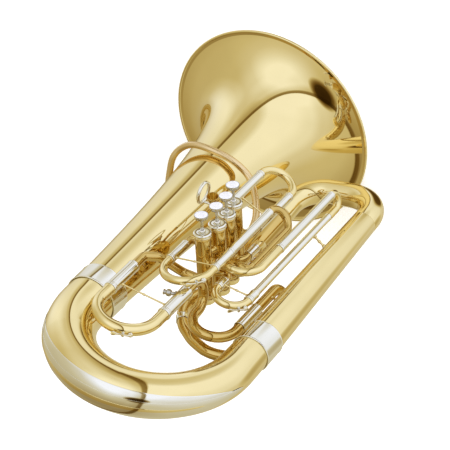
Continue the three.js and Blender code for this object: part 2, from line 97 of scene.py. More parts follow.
def make_camera():
    """A long lens high in front and to the left, turned so that the bell is at the top of the picture."""
    data = bpy.data.cameras.new("camera")
    data.lens = LENS
    data.sensor_width = 36
    data.clip_start, data.clip_end = 0.1, 60
    camera = bpy.data.objects.new("camera", data)
    up = np.cross(RIGHT, FORWARD)
    turn = Matrix([[RIGHT[i], up[i], -FORWARD[i]] for i in range(3)])
    camera.matrix_world = Matrix.Translation(world(CAMERA_AT)) @ turn.to_4x4()
    scene.collection.objects.link(camera)
    scene.camera = camera


def area_light(name, at, target, size, watts):
    """A soft light for matte surfaces only; polished metal mirrors the sky and shows no hard panel."""
    data = bpy.data.lights.new(name, "AREA")
    data.shape = "RECTANGLE"
    data.size, data.size_y = size
    data.energy = watts
    light = bpy.data.objects.new(name, data)
    light.location = at
    light.rotation_euler = (Vector(target) - Vector(at)).to_track_quat("-Z", "Y").to_euler()
    light.visible_glossy = False
    scene.collection.objects.link(light)


def heading(azimuth, elevation):
    """A direction; azimuth 0 is towards -Y and 90 towards +X."""
    a, e = math.radians(azimuth), math.radians(elevation)
    return math.sin(a) * math.cos(e), -math.cos(a) * math.cos(e), math.sin(e)


# Each zone of the soft sky: the direction it lies in, then (degrees from that direction, level) pairs.
# The first three add up, and the rest multiply that sum.
SKY_FRONT = (heading(-32, -12), ((0, 0.98), (25, 0.97), (55, 0.88), (75, 0.76), (105, 0.66), (140, 0.60),
                                 (180, 0.45)))
SKY_TOP = (heading(4, 50), ((0, 0.36), (16, 0.32), (40, 0.06), (60, 0.0), (180, 0.0)))
SKY_LOW_RIGHT = (heading(80, -38), ((0, 0.32), (18, 0.28), (34, 0.08), (48, 0.0), (180, 0.0)))
SKY_SEAM = (heading(85, 27), ((0, 1.0), (50, 1.0), (70, 0.84), (79, 0.68), (80, 0.30), (83, 0.24),
                              (84, 1.0), (180, 1.0)))
SKY_DARK_TOP = (heading(-62, 74), ((0, 0.03), (7, 0.05), (10, 0.35), (13, 1.0), (180, 1.0)))
SKY_DARK_BACK = (heading(158, 40), ((0, 0.70), (16, 0.75), (30, 0.88), (44, 1.0), (180, 1.0)))
SKY_DARK_LEFT = (heading(-112, -43), ((0, 0.68), (9, 0.74), (20, 1.0), (180, 1.0)))
SKY_GREY = (heading(6, -24), ((0, 0.76), (14, 0.80), (26, 1.0), (180, 1.0)))
SKY_DARK_LOW = (heading(42, -80), ((0, 0.08), (15, 0.12), (22, 0.9), (27, 1.0), (180, 1.0)))
# The colour of the sky at each level: dim parts are warm, as polished brass picks up its own colour.
SKY_TINT = ((0.0, (0.02, 0.008, 0.001)), (0.17, (0.17, 0.10, 0.025)), (0.45, (0.45, 0.365, 0.19)),
            (0.67, (0.66, 0.61, 0.44)), (0.88, (0.91, 0.945, 1.05)), (1.0, (1.06, 1.12, 1.36)))


def make_sky():
    """A studio surround of soft panels, brighter in front and above, with a narrow seam between them."""
    sky = bpy.data.worlds.new("studio")
    scene.world = sky
    sky.use_nodes = True
    nodes, links = sky.node_tree.nodes, sky.node_tree.links
    coords = nodes.new("ShaderNodeTexCoord")

    def ramp(value, stops):
        node = nodes.new("ShaderNodeValToRGB")
        node.color_ramp.interpolation = "EASE" if len(stops) > 6 else "LINEAR"
        marks = node.color_ramp.elements
        for i, (position, color) in enumerate(stops):
            mark = marks[i] if i < 2 else marks.new(position)
            mark.position = position
            mark.color = (*color, 1)
        links.new(value, node.inputs["Fac"])
        return node.outputs["Color"]

    def calculate(operation, *values):
        node = nodes.new("ShaderNodeMath")
        node.operation = operation
        for socket, value in zip(node.inputs, values):
            if isinstance(value, (int, float)):
                socket.default_value = value
            else:
                links.new(value, socket)
        return node.outputs["Value"]

    def zone(direction, levels):
        dot = nodes.new("ShaderNodeVectorMath")
        dot.operation = "DOT_PRODUCT"
        dot.inputs[1].default_value = direction
        links.new(coords.outputs["Generated"], dot.inputs[0])
        angle = calculate("DIVIDE", calculate("ARCCOSINE", dot.outputs["Value"]), math.pi)
        return ramp(angle, [(degrees / 180, (level,) * 3) for degrees, level in levels])

    level = calculate("ADD", zone(*SKY_FRONT), zone(*SKY_TOP))
    level = calculate("ADD", level, zone(*SKY_LOW_RIGHT))
    for dark in (SKY_SEAM, SKY_DARK_TOP, SKY_DARK_BACK, SKY_DARK_LEFT, SKY_GREY, SKY_DARK_LOW):
        level = calculate("MULTIPLY", level, zone(*dark))
    links.new(ramp(level, SKY_TINT), nodes["Background"].inputs["Color"])
    nodes["Background"].inputs["Strength"].default_value = 1.0


def make_floor():
    """A plain pale floor just under the bell's rim."""
    half, drop = 9.0, 0.0005
    mesh = bpy.data.meshes.new("floor")
    corners = [(-half, -half, 0), (half, -half, 0), (half, half, 0), (-half, half, 0)]
    mesh.from_pydata(corners, [], [(0, 1, 2, 3)])
    floor = bpy.data.objects.new("floor", mesh)
    floor.location.z = cad_bounds[0].z - drop
    floor.visible_glossy = False
    scene.collection.objects.link(floor)
    paint = bpy.data.materials.new("floor_paint")
    paint.use_nodes = True
    surface = paint.node_tree.nodes["Principled BSDF"]
    surface.inputs["Base Color"].default_value = (0.92, 0.92, 0.92, 1)
    surface.inputs["Roughness"].default_value = 0.9
    surface.inputs["Emission Color"].default_value = (1, 1, 1, 1)
    surface.inputs["Emission Strength"].default_value = 0.35
    mesh.materials.append(paint)


scene.view_settings.view_transform = "Standard"
make_camera()
make_sky()
make_floor()
area_light("key", (-2.6, -1.8, 3.4), (0, 0, 0.4), (2.4, 2.4), 90)
area_light("fill", (2.8, -1.6, 2.6), (0, 0, 0.4), (2.0, 2.6), 50)

# ---- materials ----


def finish(name, color, roughness, metallic=1.0, coat=0.0, mottle=0.05, grain=260.0, wave=0.02, tint=None):
    """A surface whose colour, gloss and flatness vary a little, as worked and polished material does."""
    material = bpy.data.materials.new(name)
    material.use_nodes = True
    nodes, links = material.node_tree.nodes, material.node_tree.links
    surface = nodes["Principled BSDF"]
    surface.inputs["Metallic"].default_value = metallic
    surface.inputs["Coat Weight"].default_value = coat
    surface.inputs["Coat Roughness"].default_value = 0.05
    coords = nodes.new("ShaderNodeTexCoord")

    def noise(scale, detail):
        node = nodes.new("ShaderNodeTexNoise")
        node.inputs["Scale"].default_value = scale
        node.inputs["Detail"].default_value = detail
        links.new(coords.outputs["Object"], node.inputs["Vector"])
        return node.outputs["Fac"]

    def spread(value, low, high):
        node = nodes.new("ShaderNodeMapRange")
        node.inputs["From Min"].default_value, node.inputs["From Max"].default_value = 0.3, 0.7
        node.inputs["To Min"].default_value, node.inputs["To Max"].default_value = low, high
        links.new(value, node.inputs["Value"])
        return node.outputs["Result"]

    shade = nodes.new("ShaderNodeMix")
    shade.data_type = "RGBA"
    other = tint or tuple(c * (1 - mottle) for c in color)
    shade.inputs["A"].default_value = (*color, 1)
    shade.inputs["B"].default_value = (*other, 1)
    links.new(spread(noise(9.0, 3.0), 0.0, 1.0), shade.inputs["Factor"])
    links.new(shade.outputs["Result"], surface.inputs["Base Color"])
    links.new(spread(noise(grain, 2.0), roughness * 0.7, roughness * 1.35), surface.inputs["Roughness"])
    bump = nodes.new("ShaderNodeBump")
    bump.inputs["Strength"].default_value = wave
    bump.inputs["Distance"].default_value = 0.001
    links.new(noise(30.0, 1.0), bump.inputs["Height"])
    links.new(bump.outputs["Normal"], surface.inputs["Normal"])
    return material


BRASS = finish("lacquered_brass", (0.90, 0.745, 0.36), 0.035, coat=0.10, mottle=0.05, wave=0.015)
# The same lacquered brass made darker and more amber: painted shade for the crowded middle parts (casings,
# ports, small loops and bows), which lie in each other's shade.
SHADED_BRASS = finish("deep_brass", (0.71, 0.50, 0.155), 0.045, coat=0.10, mottle=0.10, wave=0.02)
ROSE = finish("rose_brass", (0.82, 0.62, 0.32), 0.20, coat=0.10, mottle=0.04, grain=60.0, wave=0.01)
NICKEL = finish("nickel_silver", (0.88, 0.845, 0.71), 0.06, mottle=0.04, wave=0.015)
AGED_NICKEL = finish("aged_nickel", (0.60, 0.57, 0.49), 0.10, mottle=0.10, wave=0.02)
STEEL = finish("piston_metal", (0.60, 0.60, 0.60), 0.22, mottle=0.10, grain=900.0)
PEARL = finish("pearl", (0.72, 0.72, 0.77), 0.16, metallic=0.0, coat=0.6, grain=120.0,
               tint=(0.64, 0.65, 0.74))
FELT = finish("felt", (0.72, 0.70, 0.66), 0.95, metallic=0.0, mottle=0.25, grain=1500.0, wave=0.6)
CORK = finish("cork", (0.55, 0.36, 0.20), 0.85, metallic=0.0, mottle=0.40, grain=1200.0, wave=0.5)

# ---- mesh helpers ----

TURN = 2 * math.pi


class Route:
    """A centre line with points, tangents, distances and normals that don't twist."""

    def __init__(self, points, tangents):
        self.points = np.array(points, float)
        self.tangents = np.array([unit(t) for t in tangents])
        steps = np.linalg.norm(np.diff(self.points, axis=0), axis=1)
        self.distances = np.concatenate([[0], np.cumsum(steps)])
        self.length = self.distances[-1]
        seed = np.array([0, 1, 0]) if abs(self.tangents[0][1]) < 0.9 else np.array([0, 0, 1])
        normals = []
        for tangent in self.tangents:
            seed = unit(seed - tangent * seed.dot(tangent))
            normals.append(seed)
        self.normals = np.array(normals)

    def at(self, distance):
        def mix(rows):
            return np.array([np.interp(distance, self.distances, rows[:, k]) for k in range(3)])

        if distance < 0 or distance > self.length:
            end = 0 if distance < 0 else -1
            beyond = distance - self.distances[end]
            return self.points[end] + self.tangents[end] * beyond, self.tangents[end], self.normals[end]
        tangent = unit(mix(self.tangents))
        normal = mix(self.normals)
        return mix(self.points), tangent, unit(normal - tangent * normal.dot(tangent))


def bent(corners, bends=0, step=4):
    """Straight runs through the corners, with a round bend at each inner one."""
    c = [np.array(p, float) for p in corners]
    points, tangents = [c[0]], [unit(c[1] - c[0])]
    for i in range(1, len(c) - 1):
        into, out = unit(c[i] - c[i - 1]), unit(c[i + 1] - c[i])
        angle = math.acos(np.clip(into.dot(out), -1, 1))
        radius = bends[i - 1] if isinstance(bends, (list, tuple)) else bends
        start = c[i] - into * radius * math.tan(angle / 2)
        side = unit(out - into * out.dot(into))
        steps = max(2, math.ceil(math.degrees(angle) / step))
        for k in range(steps + 1):
            a = angle * k / steps
            points.append(start + side * radius * (1 - math.cos(a)) + into * radius * math.sin(a))
            tangents.append(into * math.cos(a) + side * math.sin(a))
    points.append(c[-1])
    tangents.append(unit(c[-1] - c[-2]))
    return Route(points, tangents)


def flowing(points, per_span=12):
    """A smooth centre line through the points: a centripetal Catmull-Rom curve."""
    p = [np.array(q, float) for q in points]
    p = [2 * p[0] - p[1], *p, 2 * p[-1] - p[-2]]
    out = []
    for i in range(1, len(p) - 2):
        a, b, c, d = p[i - 1: i + 3]
        t = np.cumsum([0, *(np.linalg.norm(v) ** 0.5 for v in (b - a, c - b, d - c))])
        for k in range(per_span):
            x = t[1] + (t[2] - t[1]) * k / per_span

            def blend(u, v, i0, i1):
                return (u * (t[i1] - x) + v * (x - t[i0])) / (t[i1] - t[i0])

            ab, bc, cd = blend(a, b, 0, 1), blend(b, c, 1, 2), blend(c, d, 2, 3)
            out.append(blend(blend(ab, bc, 0, 2), blend(bc, cd, 1, 3), 1, 2))
    out.append(p[-2])
    return Route(out, np.gradient(np.array(out), axis=0))


def soften(profile, radius):
    """Rounds the corners of a closed or open outline."""
    straight = -0.94  # the cosine between two sides that lie almost in line
    share = 0.45  # the most of a side that one rounding takes
    closed = profile[0] == profile[-1]
    pts = [np.array(p, float) for p in (profile[:-1] if closed else profile)]
    out = []
    for i, p in enumerate(pts):
        if not closed and i in (0, len(pts) - 1):
            out.append(tuple(p))
            continue
        before, after = pts[i - 1], pts[(i + 1) % len(pts)]
        u, v = before - p, after - p
        lu, lv = np.linalg.norm(u), np.linalg.norm(v)
        if lu < 1e-6 or lv < 1e-6 or u.dot(v) / (lu * lv) < straight:
            out.append(tuple(p))
            continue
        a = p + u / lu * min(radius, share * lu)
        b = p + v / lv * min(radius, share * lv)
        out += [tuple((1 - k) ** 2 * a + 2 * k * (1 - k) * p + k * k * b) for k in (0, 0.33, 0.67, 1)]
    return out + [out[0]] if closed else out


def make(name, verts, faces, material, body, *nodes):
    """One smooth-shaded piece that rides on a body and stands for the named CAD nodes."""
    name = name + "_visual" if name in frame["nodes"] else name
    mesh = bpy.data.meshes.new(name)
    mesh.from_pydata([tuple(v) for v in world(verts)], [], faces)
    mesh.update()
    volume = sum(mesh.vertices[f.vertices[0]].co.dot(f.normal) * f.area for f in mesh.polygons)
    centred = volume - sum((f.normal * f.area for f in mesh.polygons), Vector()).dot(mesh.vertices[0].co)
    if centred < 0:
        mesh.flip_normals()
    mesh.shade_smooth()
    mesh.set_sharp_from_angle(angle=math.radians(40))
    mesh.materials.append(material)
    piece = bpy.data.objects.new(name, mesh)
    scene.collection.objects.link(piece)
    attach(piece, body)
    if nodes:
        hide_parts(*nodes)
    return piece


def rings_to_faces(sizes, closed):
    """Quads between neighbouring rings; a ring of one point is a pole."""
    starts = np.concatenate([[0], np.cumsum(sizes)]).tolist()
    faces = []
    pairs = [(i, i + 1) for i in range(len(sizes) - 1)] + ([(len(sizes) - 1, 0)] if closed else [])
    for i, j in pairs:
        n = max(sizes[i], sizes[j])
        for k in range(n):
            m = (k + 1) % n
            a, b = starts[i] + k % sizes[i], starts[i] + m % sizes[i]
            c, d = starts[j] + m % sizes[j], starts[j] + k % sizes[j]
            loop = list(dict.fromkeys((a, b, c, d)))
            if len(loop) > 2:
                faces.append(loop)
    return faces


def sweep(name, route, profile, material, body="horn", nodes=(), sides=40, soft=0.35):
    """Turns an outline of (distance, radius) pairs about a route."""
    outline = soften(list(profile), soft)
    margin = 0.4
    full = []
    for (s, r), (s2, r2) in zip(outline, outline[1:]):
        full.append((s, r))
        inside = [d for d in route.distances if min(s, s2) + margin < d < max(s, s2) - margin]
        if s2 < s:
            inside.reverse()
        full += [(d, r + (r2 - r) * (d - s) / (s2 - s)) for d in inside]
    closed = outline[0] == outline[-1]
    if not closed:
        full.append(outline[-1])
    angles = np.arange(sides) * TURN / sides
    verts, sizes = [], []
    for s, r in full:
        point, tangent, normal = route.at(s)
        if r < 1e-6:
            verts.append(point[None])
            sizes.append(1)
            continue
        side = np.cross(normal, tangent)
        verts.append(point + r * (np.outer(np.cos(angles), normal) + np.outer(np.sin(angles), side)))
        sizes.append(sides)
    return make(name, np.concatenate(verts), rings_to_faces(sizes, closed), material, body, *nodes)


def line(a, b):
    """A straight route."""
    return bent([a, b])


def tube(name, route, taper, wall=1.4, material=None, sides=40, node=None, body="horn"):
    """An open tube; taper lists (distance, radius) pairs."""
    inside = [(s, r - wall) for s, r in reversed(taper)]
    outline = [*taper, *inside, taper[0]]
    return sweep(name, route, outline, material or BRASS, body, [node or name], sides)


def pipe(name, route, r0, r1=None, **more):
    """An open tube whose outer radius goes evenly from r0 to r1."""
    return tube(name, route, [(0, r0), (route.length, r0 if r1 is None else r1)], **more)


def loft(name, sections, material, body, nodes=(), around=20, power=2.6):
    """A closed solid through rounded sections, each (middle, half width vector, half thickness vector)."""
    angles = np.arange(around) * TURN / around
    cos, sin = np.cos(angles), np.sin(angles)
    x = np.sign(cos) * np.abs(cos) ** (2 / power)
    y = np.sign(sin) * np.abs(sin) ** (2 / power)
    rings = [np.array(sections[0][0], float)[None]]
    rings += [np.array(m, float) + np.outer(x, u) + np.outer(y, v) for m, u, v in sections]
    rings.append(np.array(sections[-1][0], float)[None])
    sizes = [1, *[around] * len(sections), 1]
    return make(name, np.concatenate(rings), rings_to_faces(sizes, False), material, body, *nodes)


# ---- bell, bows and branches ----

RIM = 228.5


def flare(z):
    """The bell's outer radius at a height above the rim."""
    throat, power = 28, -0.458
    return (RIM - 4) * ((z + throat) / throat) ** power


def make_bell():
    """The flared shell, closed at its lower edge by a rolled wire."""
    bottom, top, wall, rows = 1.6, 688.0, 2.0, 70
    wire_radius = 3.1
    heights = [bottom + (top - bottom) * (i / rows) ** 2.6 for i in range(rows + 1)]
    inside = [(z + 0.6, flare(z) - wall) for z in heights[:-1]] + [(top, flare(top) - wall)]
    outside = []
    for z in heights:
        slope = flare(z + 0.5) - flare(z - 0.5)
        n = unit((1, -slope)) * wall
        outside.append((z if z == top else z + n[1], flare(z) - wall + n[0]))
    wire = [(wire_radius + wire_radius * math.sin(a), RIM - wire_radius + wire_radius * math.cos(a))
            for a in np.radians(np.arange(150, -181, -15))]
    outline = [*inside, *reversed(outside), *wire, inside[0]]
    sweep("bell", line((0, 0, 0), (0, 0, top)), outline, BRASS, nodes=["bell"], sides=192, soft=0.1)


BOW_RADIUS, SPRINGING = 166.6, 737.5
bow = bent([(0, 0, 688.3), (0, 0, SPRINGING + BOW_RADIUS), (-2 * BOW_RADIUS, 0, SPRINGING + BOW_RADIUS),
            (-2 * BOW_RADIUS, 0, 655)], BOW_RADIUS - 0.001, step=2)
BOW_TAPER = [(0, 51.2), (150, 50.0), (330, 43.8), (bow.length, 36.6)]


def bow_radius(s):
    """The bottom bow's outer radius at a distance along it."""
    return float(np.interp(s, [d for d, _ in BOW_TAPER], [r for _, r in BOW_TAPER]))


def bow_point(s, angle, lift):
    """A point on the bow's surface; angle 0 faces straight out of the bend."""
    point, tangent, _ = bow.at(s)
    out = np.cross((0, 1, 0), tangent)
    r = bow_radius(s) + lift
    return point + out * r * math.cos(angle) + np.array((0, 1, 0)) * r * math.sin(angle)


def bow_plate(name, first, last, spread, lifts, material, nodes=()):
    """A thin plate wrapped over the bow; spread gives its two edge angles in degrees at its widest."""
    rows, cols = 72, 24
    low, high = (math.radians(a) for a in spread)
    middle = (low + high) / 2
    layers = []
    for lift, shrink in ((lifts[0], 1.0), (lifts[1] - 0.25, 1.0), (lifts[1], 0.985)):
        for i in range(rows + 1):
            along = i / rows
            s = first + (last - first) * (0.5 + (along - 0.5) * (1 - (1 - shrink) * 0.3))
            width = (high - low) / 2 * max(0.02, math.sin(math.pi * along) ** 0.55) * shrink
            layers.append([bow_point(s, middle + width * (2 * j / cols - 1), lift)
                           for j in range(cols + 1)])
    n = rows + 1

    def idx(layer, i, j):
        return (layer * n + i) * (cols + 1) + j

    faces = []
    for i in range(rows):
        for j in range(cols):
            faces.append([idx(2, i, j), idx(2, i + 1, j), idx(2, i + 1, j + 1), idx(2, i, j + 1)])
            faces.append([idx(0, i, j), idx(0, i, j + 1), idx(0, i + 1, j + 1), idx(0, i + 1, j)])
    border = [(i, 0) for i in range(rows)] + [(rows, j) for j in range(cols)]
    border += [(i, cols) for i in range(rows, 0, -1)] + [(0, j) for j in range(cols, 0, -1)]
    for layer in (0, 1):
        for (a, b), (c, d) in zip(border, border[1:] + border[:1]):
            faces.append([idx(layer, a, b), idx(layer, c, d), idx(layer + 1, c, d), idx(layer + 1, a, b)])
    make(name, np.concatenate(layers), faces, material, "horn", *nodes)


def make_guard():
    """A nickel guard plate with a raised band along its middle and a brass wire along the band."""
    bow_plate("bow_guard", 90, 527, (-48, 48), (0.15, 0.9), NICKEL, ["bow_guard"])
    bow_plate("bow_guard_band", 76, 545, (-23, 23), (0.95, 1.55), NICKEL)
    bow_plate("bow_guard_wire", 84, 470, (-5, 5), (1.6, 2.25), BRASS)


def ferrule(name, route, start, end, inner, thickness=1.7, bead=0.5, sides=64):
    """A band that hugs the tube, with a fine bead near each end; inner is the radius at both ends."""
    def ring(s, lift):
        return s, inner[0] + (inner[1] - inner[0]) * (s - start) / (end - start) + lift

    low, high = thickness, thickness + bead
    outline = [ring(start, 0.1), ring(start, low * 0.7), ring(start + 0.5, high * 0.9),
               ring(start + 1.2, high), ring(start + 1.9, high * 0.9), ring(start + 2.4, low),
               ring(end - 2.4, low), ring(end - 1.9, high * 0.9), ring(end - 1.2, high),
               ring(end - 0.5, high * 0.9), ring(end, low * 0.7), ring(end, 0.1), ring(start, 0.1)]
    sweep(name, route, outline, NICKEL, nodes=[name], sides=sides, soft=0.2)


make_bell()
tube("bottom_bow", bow, BOW_TAPER, wall=1.8, sides=96)
make_guard()
ferrule("bell_ferrule", line((0, 0, 666), (0, 0, 714)), 0, 48, (51.8, 51.5), sides=128)

BRANCH_X, BRANCH_TOP = -2 * BOW_RADIUS, -322.0  # x at the bottom bow and at the top bow
branch = bent([(BRANCH_X, 0, 654.7), (BRANCH_X, 0, 622), (BRANCH_TOP, 0, 200)], 200, step=1)
pipe("outer_branch", branch, 36.6, 26.5, sides=72)
ferrule("branch_ferrule", line((BRANCH_X, 0, 684), (BRANCH_X, 0, 627)), 0, 57, (37.4, 36.6), sides=96)
over = bent([(BRANCH_TOP, 0, 199.7), (BRANCH_TOP + 2, 0, 108), (-143, 36, 108), (-140, 50, 205)], [74, 66])
pipe("top_bow", over, 26.5, 24, sides=64)
inner = bent([(-140, 50, 205.3), (-133, 82, 420), (-125, 62, 530), (-125, 62, 556)], [200, 80], step=2)
pipe("inner_branch", inner, 24, 12, sides=48, material=SHADED_BRASS)

# ---- small bow, return loop and exit pipe ----

small = bent([(-125, 62, 556.3), (-125, 62, 575), (-152, 59, 618), (-190, 56, 648), (-235, 54, 668),
              (-290, 54, 652), (-290, 54, 560)], [60, 80, 80, 60, 40])
pipe("small_bow", small, 12, 11, material=SHADED_BRASS)
ferrule("small_bow_ferrule", small, 38, 54, (12.1, 12.1), 1.1, 0.4, 48)
loop = bent([(-168, -48, 640), (-168, -48, 585), (-178, 14, 585), (-178, 16, 662), (-267, 20, 662),
             (-267, 20, 450), (-290, 54, 450), (-290, 54, 559.7)], [29, 29, 44, 44, 20.4, 20.4])
pipe("return_loop", loop, 10, 11, material=SHADED_BRASS)
ferrule("return_loop_sleeve", line((-267, 20, 606), (-267, 20, 536)), 0, 70, (11.1, 11.1), 1.0, 0.4, 48)
leave = bent([(-137.6, -15, 557), (-112, -15, 557), (-72, -54, 586), (-50, -58, 604), (-50, -58, 640)],
             [16, 16, 14])
pipe("exit_pipe", leave, 9, 9.4, material=SHADED_BRASS)


def brace(name, a, radius_a, b, radius_b, thickness=2.0, nodes=(), material=None):
    """A turned rod between two tubes, with a bead in the middle and a flange at each end."""
    a, b = np.array(a, float), np.array(b, float)
    along = unit(b - a)
    start, end = a + along * (radius_a + 0.1), b - along * (radius_b + 0.1)
    total = float(np.linalg.norm(end - start))
    wide = thickness * 1.9
    outline = [(0, 0), (0, wide), (1.2, wide), (2.2, wide * 0.7), (3.6, thickness)]
    outline += [(total / 2 - 3, thickness * 0.9), (total / 2 - 1.2, thickness * 1.35),
                (total / 2 + 1.2, thickness * 1.35), (total / 2 + 3, thickness * 0.9)]
    outline += [(total - 3.6, thickness), (total - 2.2, wide * 0.7), (total - 1.2, wide), (total, wide),
                (total, 0)]
    sweep(name, line(start, end), outline, material or BRASS, nodes=nodes, sides=24, soft=0.6)


brace("branch_brace", (-272, -35, 331), 7.8, (-325.2, 0, 331), 29.5, 2.3, nodes=["branch_brace"])
brace("loop_brace", (-267, 20, 490), 10.8, (-331, 0, 515), 33.5, 2.3, material=SHADED_BRASS)

# ---- valves ----

# The y of the valves' cap faces, their lean, a casing's radius, how deep its foot lies, and a cap's radius.
FACE, TILT, CASING, DEPTH, CAP = -128.0, math.radians(7), 15.5, 156.0, 17.9
VALVE_TUBE = 8.2  # the outer radius of the valves' tubing
PISTON = np.array((math.sin(TILT), -math.cos(TILT), 0))
VALVES = {1: (-149, 438), 2: (-156, 476.5), 3: (-157.5, 516), 4: (-148.5, 557)}  # x and z at the cap face


def bore_at(n, y):
    """The point of valve n's axis at a given y."""
    x, z = VALVES[n]
    return x + PISTON[0] / PISTON[1] * (y - FACE), y, z


def valve_axis(n, height):
    """The point of valve n's axis at a height above its cap face."""
    x, z = VALVES[n]
    return np.array((x, FACE, z)) + PISTON * height


def turned(name, n, outline, material, body="horn", nodes=(), sides=48, soft=0.3):
    """A turned piece on valve n's axis: (height above the cap face, radius) pairs."""
    low = min(h for h, _ in outline)
    route = line(valve_axis(n, low), valve_axis(n, low + 300))
    return sweep(name, route, [(h - low, r) for h, r in outline], material, body, nodes, sides, soft)


def knurled(outline, n, name, material, start, end, radius, teeth=44, nodes=()):
    """A cap whose skirt carries fine ridges."""
    ridge = 0.35
    piece = turned(name, n, outline, material, nodes=nodes, sides=teeth * 4)
    centre = Vector(world(valve_axis(n, 0)))
    axis = Vector(PISTON)
    for v in piece.data.vertices:
        offset = v.co - centre
        height = offset.dot(axis)
        flat = offset - axis * height
        if start * MM < height < end * MM and flat.length > (radius - ridge) * MM:
            angle = math.atan2(flat.cross(Vector((0, 0, 1))).dot(axis), flat.z)
            v.co -= flat.normalized() * ridge * MM * (0.5 - 0.5 * math.cos(angle * teeth))
    return piece


def saddle(piece, n, origin, along, reach):
    """Fits a tube's end to valve n's round casing; reach is how far from the valve the end goes."""
    start, middle = Vector(world(origin)), Vector(world(valve_axis(n, 0)))
    axis, along = Vector(PISTON), Vector(along)
    depth = (CASING - 1) * MM
    flat = along - axis * along.dot(axis)
    for v in piece.data.vertices:
        ahead = (v.co - start).dot(along)
        if ahead > reach * MM:
            continue
        side = v.co + along * (depth - ahead) - middle
        side -= axis * side.dot(axis)
        a, b, c = flat.length_squared, side.dot(flat), side.length_squared - depth ** 2
        v.co += along * ((math.sqrt(max(0.0, b * b - a * c)) - b) / a)


def valve(n, ports):
    """Valve n's casing, ports, caps and button. On valves 1 to 3 the last port is the link to the next."""
    casing = [(-DEPTH, 13.8), (-DEPTH, CASING), (-DEPTH + 12, CASING), (-DEPTH + 12.5, CASING + 0.7),
              (-DEPTH + 15.5, CASING + 0.7), (-DEPTH + 16, CASING), (-15, CASING), (-14.5, CASING + 0.6),
              (-11.5, CASING + 0.6), (-11, CASING), (-3.4, CASING), (-3.4, 13.8), (-DEPTH, 13.8)]
    turned(f"valve_{n}_casing", n, casing, SHADED_BRASS, nodes=[f"valve_{n}_casing"], sides=64)
    wall = CASING - 1
    for k, (route, radius) in enumerate(ports):
        origin, along = route.points[0], route.tangents[0]
        joined = k == len(ports) - 1 and n < 4
        end = [(route.length, radius), (route.length, 0)] if joined else [
            (route.length, radius), (route.length, radius - 1.4), (route.length - 6, radius - 1.4),
            (route.length - 6, 0)]
        outline = [(wall, 0), (wall, radius), *end]
        tube_end = sweep(f"valve_{n}_port_{k + 1}", route, outline, SHADED_BRASS, soft=0.1)
        saddle(tube_end, n, origin, along, wall + 0.2)
        if joined:
            saddle(tube_end, n + 1, bore_at(n + 1, route.points[-1][1]), -along, wall + 0.2)
        collar = [(wall, radius), (wall, radius + 1.5), (wall + 2.2, radius + 1.1), (wall + 3.2, radius),
                  (wall, radius)]
        ring = sweep(f"valve_{n}_port_{k + 1}_collar", route, collar, SHADED_BRASS)
        saddle(ring, n, origin, along, wall + 6)

    top = [(-2.6, 3.4), (1.8, 3.4), (1.8, 4.9), (-1.8, 5.2), (-1.8, 7.8), (-0.2, 8.4), (0, 9.2),
           (0, CAP - 2.2), (-1.4, CAP - 0.3), (-2.2, CAP), (-3.0, CAP), (-3.4, CAP - 0.1),
           (-7.4, CAP - 0.1), (-7.7, CAP), (-8, CAP - 0.3), (-8, CASING + 0.3), (-3, CASING + 0.3),
           (-3, 3.4), (-2.6, 3.4)]
    knurled(top, n, f"valve_{n}_top_cap", NICKEL, -7.3, -3.5, CAP - 0.1, nodes=[f"valve_{n}_top_cap"])
    base = -DEPTH
    bottom = [(base - 5, 0), (base - 5, 3.4), (base - 4.4, 5.0), (base - 4.8, 8), (base - 4.2, CAP - 3),
              (base - 2.4, CAP - 1.2), (base - 1, CAP - 0.8), (base + 7, CAP - 0.8), (base + 8, CAP - 1.2),
              (base + 8, CASING + 0.3), (base - 0.4, CASING + 0.3), (base - 0.4, 0)]
    knurled(bottom, n, f"valve_{n}_bottom_cap", BRASS, base + 0.4, base + 6, CAP - 0.8,
            nodes=[f"valve_{n}_bottom_cap"])

    body = f"valve_{n}_piston_body"
    foot = 32.0
    stem = [(-22, 0), (-22, 3.1), (foot - 9, 3.1), (foot - 8.2, 4.0), (foot - 3.6, 4.2), (foot - 3.6, 0)]
    turned(f"valve_{n}_stem", n, stem, AGED_NICKEL, body, sides=32)
    felt = [(2.3, 3.15), (2.3, 5.2), (3.6, 5.4), (4.6, 5.0), (4.6, 3.15), (2.3, 3.15)]
    turned(f"valve_{n}_stem_felt", n, felt, FELT, body, sides=40, soft=0.8)
    cup = [(foot - 3.4, 0), (foot - 3.4, 5.8), (foot - 2.7, 9.4), (foot - 0.8, 12.2), (foot + 2.2, 13.4),
           (foot + 5.0, 13.7), (foot + 6.6, 13.7), (foot + 7.0, 13.4), (foot + 6.9, 12.9),
           (foot + 6.4, 12.8), (foot + 6.0, 0)]
    turned(f"valve_{n}_button", n, cup, AGED_NICKEL, body, [f"valve_{n}_button"], sides=64)
    disc = [(foot + 6.1, 0), (foot + 6.1, 12.6), (foot + 7.0, 12.7), (foot + 7.6, 11.6), (foot + 7.9, 7),
            (foot + 8.0, 0)]
    turned(f"valve_{n}_pearl", n, disc, PEARL, body, sides=64)


def port(corners, bend=0, radius=VALVE_TUBE):
    """A tube that starts inside a casing: its route and its radius."""
    return bent(corners, bend), radius


def link(n, y):
    """The short tube from valve n to the next, at a given y."""
    a, b = np.array(bore_at(n, y)), np.array(bore_at(n + 1, y))
    return line(a, b - unit(b - a) * (CASING - 1)), VALVE_TUBE


